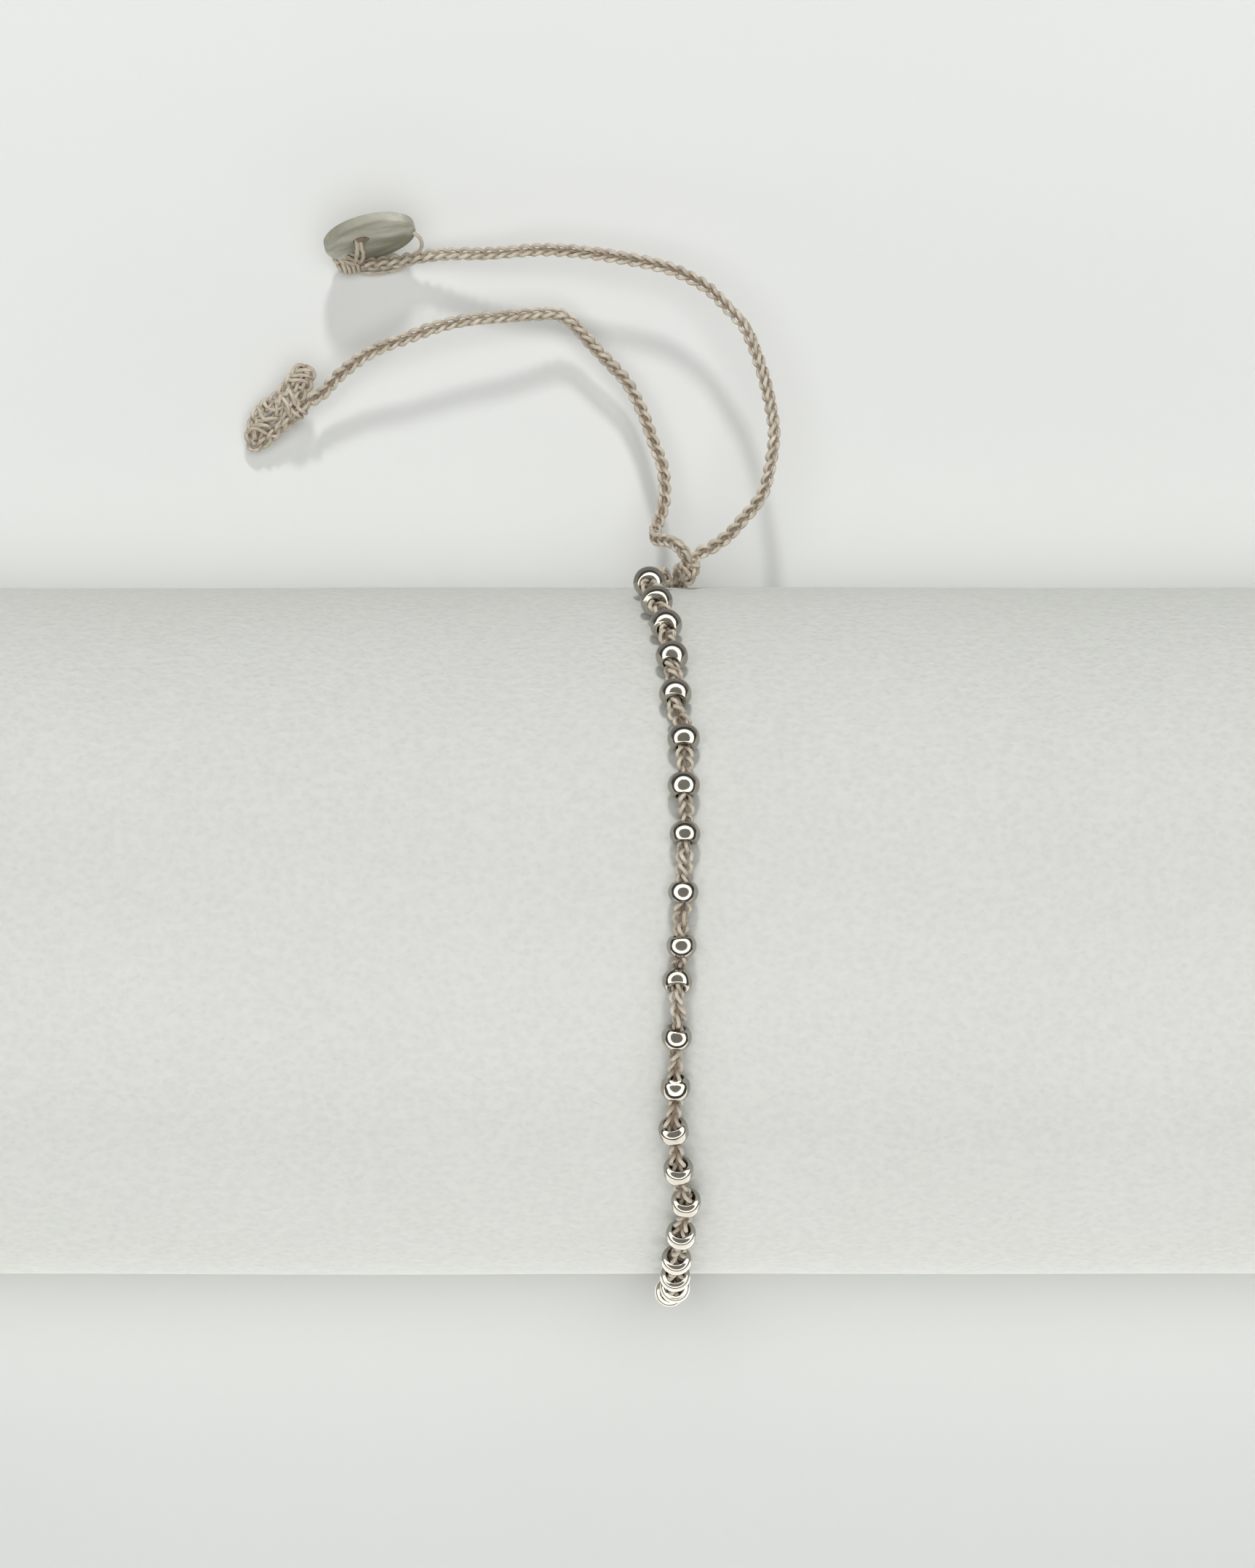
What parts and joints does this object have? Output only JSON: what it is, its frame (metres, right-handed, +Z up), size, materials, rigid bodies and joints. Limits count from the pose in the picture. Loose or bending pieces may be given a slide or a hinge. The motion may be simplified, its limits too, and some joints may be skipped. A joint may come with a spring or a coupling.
{
  "type": "beaded bracelet on a display bolster",
  "caption": "Crocheted cord bracelet of small silver barrel beads, tied round a half-round display bolster, with free tails ending in a button and a button loop.",
  "frame": {"origin": "middle of the bolster's flat underside, where it rests on a surface", "axes": "+X along the bolster, +Y to the back, where the tails lie, +Z up"},
  "size_m": [0.15, 0.0947, 0.0385],
  "materials": {
    "leatherette": "off-white grained leatherette, satin",
    "silver": "polished silver",
    "silk": "crocheted taupe silk thread",
    "shell": "grey-green mottled shell, satin"
  },
  "bodies": {
    "root": {"display_bolster": "leatherette", "bead_01": "silver", "bead_02": "silver", "bead_03": "silver", "bead_04": "silver", "bead_05": "silver", "bead_06": "silver", "bead_07": "silver", "bead_08": "silver", "bead_09": "silver", "bead_10": "silver", "bead_11": "silver", "bead_12": "silver", "bead_13": "silver", "bead_14": "silver", "bead_15": "silver", "bead_16": "silver", "bead_17": "silver", "bead_18": "silver", "bead_19": "silver", "bead_20": "silver", "bead_21": "silver", "bead_22": "silver", "bead_23": "silver", "bead_24": "silver", "bead_25": "silver", "bead_26": "silver", "bead_27": "silver", "bead_28": "silver", "bead_29": "silver", "bead_30": "silver", "bead_31": "silver", "bead_32": "silver", "bead_33": "silver", "bead_34": "silver", "bead_35": "silver", "bead_cord": "silk", "tie_knot": "silk", "tail_button_side": "silk", "tail_loop_side": "silk", "button": "shell", "button_shank_knot": "silk", "button_loop": "silk"}
  },
  "joints": []
}
